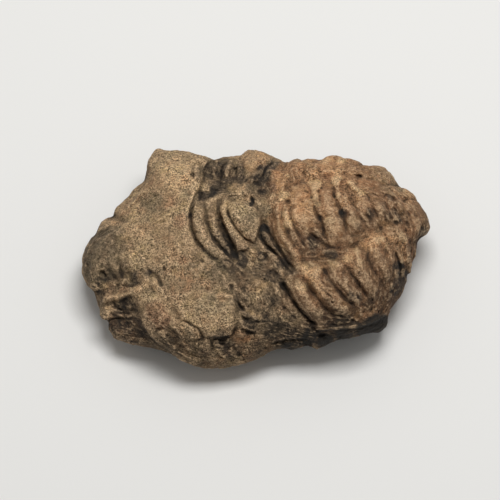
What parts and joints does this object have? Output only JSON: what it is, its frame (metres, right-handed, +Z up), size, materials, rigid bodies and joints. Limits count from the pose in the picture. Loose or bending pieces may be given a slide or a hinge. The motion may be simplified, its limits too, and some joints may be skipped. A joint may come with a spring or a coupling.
{
  "type": "trilobite fossil",
  "caption": "Brown trilobite fossil partly bedded in its lump of sandy stone: ribbed body and tail at one end, bare rock at the other. Lies on a flat underside.",
  "frame": {"origin": "the middle of the stone's bounding box in plan, at the height of the flat underside", "axes": "+X from the bare rock to the fossil's tail, +Y to the far side as pictured, +Z up"},
  "size_m": [0.08, 0.0554, 0.0303],
  "materials": {
    "brown_stone": "matte, sandy, ochre on the fossil and grey tan on the bare rock, near black in the gaps"
  },
  "bodies": {
    "root": {"trilobite_fossil": "brown_stone"}
  },
  "joints": []
}
